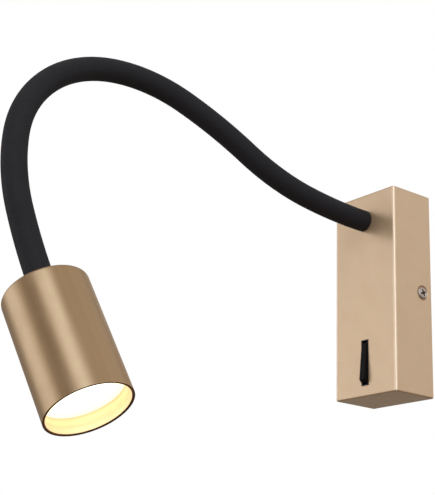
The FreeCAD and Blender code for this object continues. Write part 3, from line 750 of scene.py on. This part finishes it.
def make_retaining_ring():
    """The ring below the diffuser, bevelled towards the light."""
    low = diffuser_z - ring_t
    corners = [
        (ring_bore_r, low + ring_t / 2, 0.25 * mm),
        (ring_bore_r + ring_t / 2, low, 0.25 * mm),
        (fit_r, low, 0.15 * mm),
        (fit_r, diffuser_z, 0),
        (ring_bore_r, diffuser_z, 0),
    ]
    ring = lathe("retaining_ring_turned", rounded_profile(corners), finishes["ring_brass"])
    in_head(ring, "retaining_ring")


def make_diffuser():
    """The opal disc, its face very slightly crowned."""
    crown = 0.25 * mm
    crown_steps = 8
    proud = ring_t / 2
    face_r = ring_bore_r - 0.5 * mm
    face = []
    for i in range(crown_steps + 1):
        share = i / crown_steps
        face.append((face_r * share, diffuser_z - proud - crown * (1 - share ** 2)))
    edge = ring_bore_r - seat_gap
    rest = [
        (edge, diffuser_z),
        (fit_r, diffuser_z),
        (fit_r, diffuser_z + diffuser_lip_t),
        (edge, diffuser_z + diffuser_lip_t),
        (ring_bore_r - 2 * mm, reflector_z),
        (0, reflector_z),
    ]
    disc = lathe("diffuser_moulded", face + rest, finishes["diffuser_opal"])
    in_head(disc, "diffuser")


def make_reflector():
    """The bowl behind the diffuser, with a smooth curved wall."""
    low = diffuser_z + diffuser_lip_t
    steps = 14
    wall = 0.9 * mm
    throat = 6 * mm
    mouth = ring_bore_r + seat_gap
    curve = 1.5
    inside = []
    for i in range(steps + 1):
        share = i / steps
        r = throat + (mouth - throat) * share
        inside.append((r, board_z + (low - board_z) * share ** curve))
    outside = [(r + wall, z) for r, z in inside[:-1]]
    foot = [(fit_r, low), (fit_r, low + wall), (mouth + wall, low + wall)]
    profile = inside + foot + outside[::-1]
    bowl = lathe("reflector_spun", profile, finishes["reflector_metal"], bowl_segments)
    in_head(bowl, "reflector")


make_head_shell()
make_retaining_ring()
make_diffuser()
make_reflector()


# ---------------------------------------------------------------- wall box
cross_half_w = 0.62 * mm
cross_side_slope = 0.16 * mm
cross_reach = 2.45 * mm
cross_end_slope = 0.45 * mm


def recess_depth(x, y):
    """Share of the cross recess's depth at one place of a screw's head."""
    near, far = sorted((abs(x), abs(y)))
    from_side = (cross_half_w - near) / cross_side_slope
    from_end = (cross_reach - far) / cross_end_slope
    return max(0, min(1, from_side, from_end))


def make_screw_head(radius, height):
    """A raised, domed head about Z with a cross recess that deepens towards its middle."""
    rings = 26
    crown_drop = 0.2
    shoulder = 0.72
    shoulder_drop = 0.42
    cross_deep = 1 * mm
    well_r = 1.5 * mm
    well_share = 0.5
    verts = []
    faces = []
    for i in range(rings + 1):
        share = i / rings
        past = max(0, share - shoulder) / (1 - shoulder)
        dome = height * (1 - crown_drop * share ** 2 - shoulder_drop * past ** 2)
        well = max(0, 1 - radius * share / well_r)
        deep = cross_deep * (1 + well_share * well)
        for j in range(screw_segments):
            turn = 2 * math.pi * j / screw_segments
            x = radius * share * math.cos(turn)
            y = radius * share * math.sin(turn)
            verts.append(Vector((x, y, dome - recess_depth(x, y) * deep)))
    for i in range(rings):
        near = i * screw_segments
        far = near + screw_segments
        for j in range(screw_segments):
            k = (j + 1) % screw_segments
            faces.append((near + j, far + j, far + k, near + k))
    head = new_piece("screw_head", verts, faces, finishes["screw_steel"])
    for face in head.data.polygons:
        # faces in the cross recess take a darker steel: painted shade inside the recess
        face.material_index = int(recess_depth(face.center.x, face.center.y) > 0.3)
    return head


def make_side_screws():
    """Two screws with raised heads, one in each side of the cover."""
    head_screw_r = 4.1 * mm
    head_screw_h = 1.8 * mm
    shank_r = 2 * mm
    shank_len = 9 * mm
    head = make_screw_head(head_screw_r, head_screw_h)
    profile = [
        (head_screw_r, head.data.vertices[-1].co.z),
        (head_screw_r, 0),
        (shank_r, 0),
        (shank_r, -shank_len),
        (0, -shank_len),
    ]
    shank = lathe("screw_shank", profile, finishes["screw_steel"], screw_segments, closed=False)
    whole = bmesh.new()
    for side in (-1, 1):
        lie = Matrix.Rotation(math.radians(90 * side), 4, "Y")
        driven = Matrix.Rotation(math.radians(22 * side), 4, "Z")
        seat = Matrix.Translation((side * (box_w / 2 - dimple_depth), -screw_from_wall, 0))
        for part in (head, shank):
            copy = part.data.copy()
            copy.transform(seat @ lie @ driven)
            whole.from_mesh(copy)
    bmesh.ops.remove_doubles(whole, verts=whole.verts, dist=hair)
    for part in (head, shank):
        bpy.data.objects.remove(part)
    screws = piece_from("side_screws", whole, finishes["screw_steel"], screw_recess_painted_shade)
    screws = crisp(screws, screw_edge)
    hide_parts("cover_screws")
    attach(screws, "wall_body")


def prism(name, outline, half_width, material, edge_r):
    """A moulded prism across X over an outline of (y, z) points, with rounded edges."""
    work = bmesh.new()
    near = [work.verts.new((-half_width, y, z)) for y, z in outline]
    far = [work.verts.new((half_width, y, z)) for y, z in outline]
    work.faces.new(near)
    work.faces.new(far[::-1])
    count = len(outline)
    for i in range(count):
        j = (i + 1) % count
        work.faces.new((near[i], far[i], far[j], near[j]))
    bmesh.ops.recalc_face_normals(work, faces=work.faces)
    bmesh.ops.bevel(
        work, geom=work.edges[:], offset=edge_r, segments=3, profile=0.5, affect="EDGES"
    )
    return crisp(piece_from(name, work, material), soft_edge)


def make_rocker():
    """The black paddle, tipped with its lower end out."""
    half_len = 14.2 * mm
    step = 1 * mm
    front = -pivot_depth - 2.2 * mm
    root = 2 * mm
    upper = [
        (front, half_len - 2 * step),
        (-pivot_depth, half_len),
        (-pivot_depth / 2, half_len - step),
        (root, pivot_depth),
    ]
    outline = upper + [(y, -z) for y, z in reversed(upper)]
    paddle = prism("rocker_paddle", outline, paddle_w / 2, finishes["switch_black"], 0.45 * mm)
    pivot = Matrix.Translation((0, -box_d + pivot_depth, switch_z))
    move_mesh(paddle, pivot @ Matrix.Rotation(-rock_angle, 4, "X"))
    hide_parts("rocker")
    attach(paddle, "switch_paddle")


make_side_screws()
make_rocker()


# ---------------------------------------------------------------- stage, light and camera
lamp_middle = Vector((0.03, -0.15, 0))
floor_middle = Vector((0, -0.15, -0.42))
floor_reach = 3.0
floor_plain_to = 0.35
floor_gone_at = 1.3
sensor_w = 36
focal_px = 1200
photo_px = 495
camera_place = Vector((0.547203, -0.588707, -0.224602))
camera_yaw = -0.9076567
camera_pitch = 0.3169308
camera_roll = -0.0340090
# soft lit panels seen in reflections: direction, angle that is evenly lit, angle where the light
# ends, strength
reflected_panels = (
    ((0.455, -0.55, 0.7), 6, 24, 0.92),
    ((-0.66, -0.74, 0.12), 8, 33, 0.78),
    ((0.1, -0.85, -0.55), 8, 42, 0.5),
    ((0.74, -0.65, 0.18), 8, 30, 0.9),
    ((0.95, -0.2, 0.2), 8, 36, 0.5),
    ((0.14, 0.65, 0.75), 20, 90, 0.23),
    ((0.66, 0.71, 0.26), 10, 36, 0.35),
)
reflected_room = 0.31


def make_floor():
    """A pale floor far below the lamp. It fades to the backdrop's white and hides from below."""
    finish = Finish("pale_floor", 0.8)
    grain = finish.use("grain", Size=4 * mm)
    finish.set("Base Color", finish.mix(grain["Mask"], linear(241, 241, 241), linear(242, 242, 242)))
    middle = finish.add("ShaderNodeVectorMath", {"operation": "DISTANCE"})
    finish.feed(middle.inputs[0], finish.place)
    middle.inputs[1].default_value = floor_middle
    far = finish.span(middle.outputs["Value"], floor_plain_to, floor_gone_at)
    white = finish.add("ShaderNodeEmission")
    faded = finish.add("ShaderNodeMixShader")
    finish.feed(faded.inputs[0], far)
    finish.feed(faded.inputs[1], finish.shader.outputs[0])
    finish.feed(faded.inputs[2], white.outputs[0])
    clear = finish.add("ShaderNodeBsdfTransparent")
    shown = finish.add("ShaderNodeMixShader")
    finish.feed(shown.inputs[0], finish.add("ShaderNodeNewGeometry").outputs["Backfacing"])
    finish.feed(shown.inputs[1], faded.outputs[0])
    finish.feed(shown.inputs[2], clear.outputs[0])
    finish.feed(finish.tree.nodes["Material Output"].inputs["Surface"], shown.outputs[0])
    corners = [
        floor_middle + Vector((x * floor_reach, y * floor_reach, 0))
        for x, y in ((-1, -1), (1, -1), (1, 1), (-1, 1))
    ]
    floor = new_piece("floor", corners, [(0, 1, 2, 3)], finish.material, smooth=False)
    floor.visible_glossy = False
    floor.visible_diffuse = False


def make_world():
    """White where the camera looks, a soft room with lit panels in reflections, and an even light,
    dimmer from below, on everything else."""
    warm = (1, 0.9, 0.79, 1)
    cool = (1, 1.11, 1.24, 1)
    fill_low = (0.48, 0.39, 0.305, 1)
    fill_high = (0.6, 0.6, 0.6, 1)
    world = bpy.data.worlds.new("studio")
    world.use_nodes = True
    bpy.context.scene.world = world
    work = Wiring(world.node_tree)
    work.tree.nodes.clear()
    aim = work.add("ShaderNodeTexCoord").outputs["Generated"]
    rays = work.add("ShaderNodeLightPath").outputs
    height = work.add("ShaderNodeSeparateXYZ", inputs={"Vector": aim}).outputs["Z"]
    room = reflected_room
    for direction, inner, outer, strength in reflected_panels:
        toward = work.add("ShaderNodeVectorMath", {"operation": "DOT_PRODUCT"})
        work.feed(toward.inputs[0], aim)
        toward.inputs[1].default_value = Vector(direction).normalized()
        ends = (math.cos(math.radians(outer)), math.cos(math.radians(inner)))
        lit = work.span(toward.outputs["Value"], *ends, 0.0, strength)
        room = work.math("ADD", room, lit)
    room = work.math("MULTIPLY", room, work.span(height, -0.95, 0.0, 0.3, 1.0))
    tone = work.mix(work.span(room, 0.3, 1.5), warm, cool)
    toned = work.add("ShaderNodeVectorMath", {"operation": "SCALE"})
    work.feed(toned.inputs[0], tone)
    work.feed(toned.inputs["Scale"], room)
    even = work.mix(work.span(height, -0.9, 0.7), fill_low, fill_high)
    mirrored = work.add("ShaderNodeBackground", inputs={"Color": toned.outputs[0]})
    fill = work.add("ShaderNodeBackground", inputs={"Color": even})
    white = work.add("ShaderNodeBackground", inputs={"Color": (1, 1, 1, 1)})
    first = work.add("ShaderNodeMixShader")
    work.feed(first.inputs[0], rays["Is Glossy Ray"])
    work.feed(first.inputs[1], fill.outputs[0])
    work.feed(first.inputs[2], mirrored.outputs[0])
    seen = work.math("MAXIMUM", rays["Is Camera Ray"], rays["Is Transmission Ray"])
    second = work.add("ShaderNodeMixShader")
    work.feed(second.inputs[0], seen)
    work.feed(second.inputs[1], first.outputs[0])
    work.feed(second.inputs[2], white.outputs[0])
    out = work.add("ShaderNodeOutputWorld")
    work.feed(out.inputs["Surface"], second.outputs[0])


def make_softbox(name, direction, size, power, distance=1.2):
    """A broad soft lamp aimed at the middle of the object."""
    lamp = bpy.data.lights.new(name, "AREA")
    lamp.shape = "SQUARE"
    lamp.size = size
    lamp.energy = power
    box = bpy.data.objects.new(name, lamp)
    bpy.context.scene.collection.objects.link(box)
    toward = Vector(direction).normalized()
    box.location = lamp_middle + toward * distance
    box.rotation_mode = "QUATERNION"
    box.rotation_quaternion = toward.to_track_quat("Z", "Y")
    box.visible_glossy = False


def make_camera():
    """The photograph's view: from the lower right of the lamp, looking up at it."""
    lens = bpy.data.cameras.new("view")
    lens.sensor_width = sensor_w
    lens.lens = sensor_w * focal_px / photo_px
    eye = bpy.data.objects.new("view", lens)
    bpy.context.scene.collection.objects.link(eye)
    flat = math.cos(camera_pitch)
    ahead = Vector(
        (math.sin(camera_yaw) * flat, math.cos(camera_yaw) * flat, math.sin(camera_pitch))
    )
    level = Vector((math.cos(camera_yaw), -math.sin(camera_yaw), 0))
    below = ahead.cross(level)
    right = level * math.cos(camera_roll) + below * math.sin(camera_roll)
    down = below * math.cos(camera_roll) - level * math.sin(camera_roll)
    turn = Matrix((right, -down, -ahead)).transposed().to_4x4()
    eye.matrix_world = Matrix.Translation(camera_place) @ turn
    bpy.context.scene.camera = eye


make_floor()
make_world()
make_softbox("key_light", (0.7, -0.46, 0.54), 1.3, 12.0)
make_softbox("fill_light", (-0.8, -0.6, 0.1), 0.7, 6.5)
make_camera()
bpy.context.scene.view_settings.view_transform = "Standard"
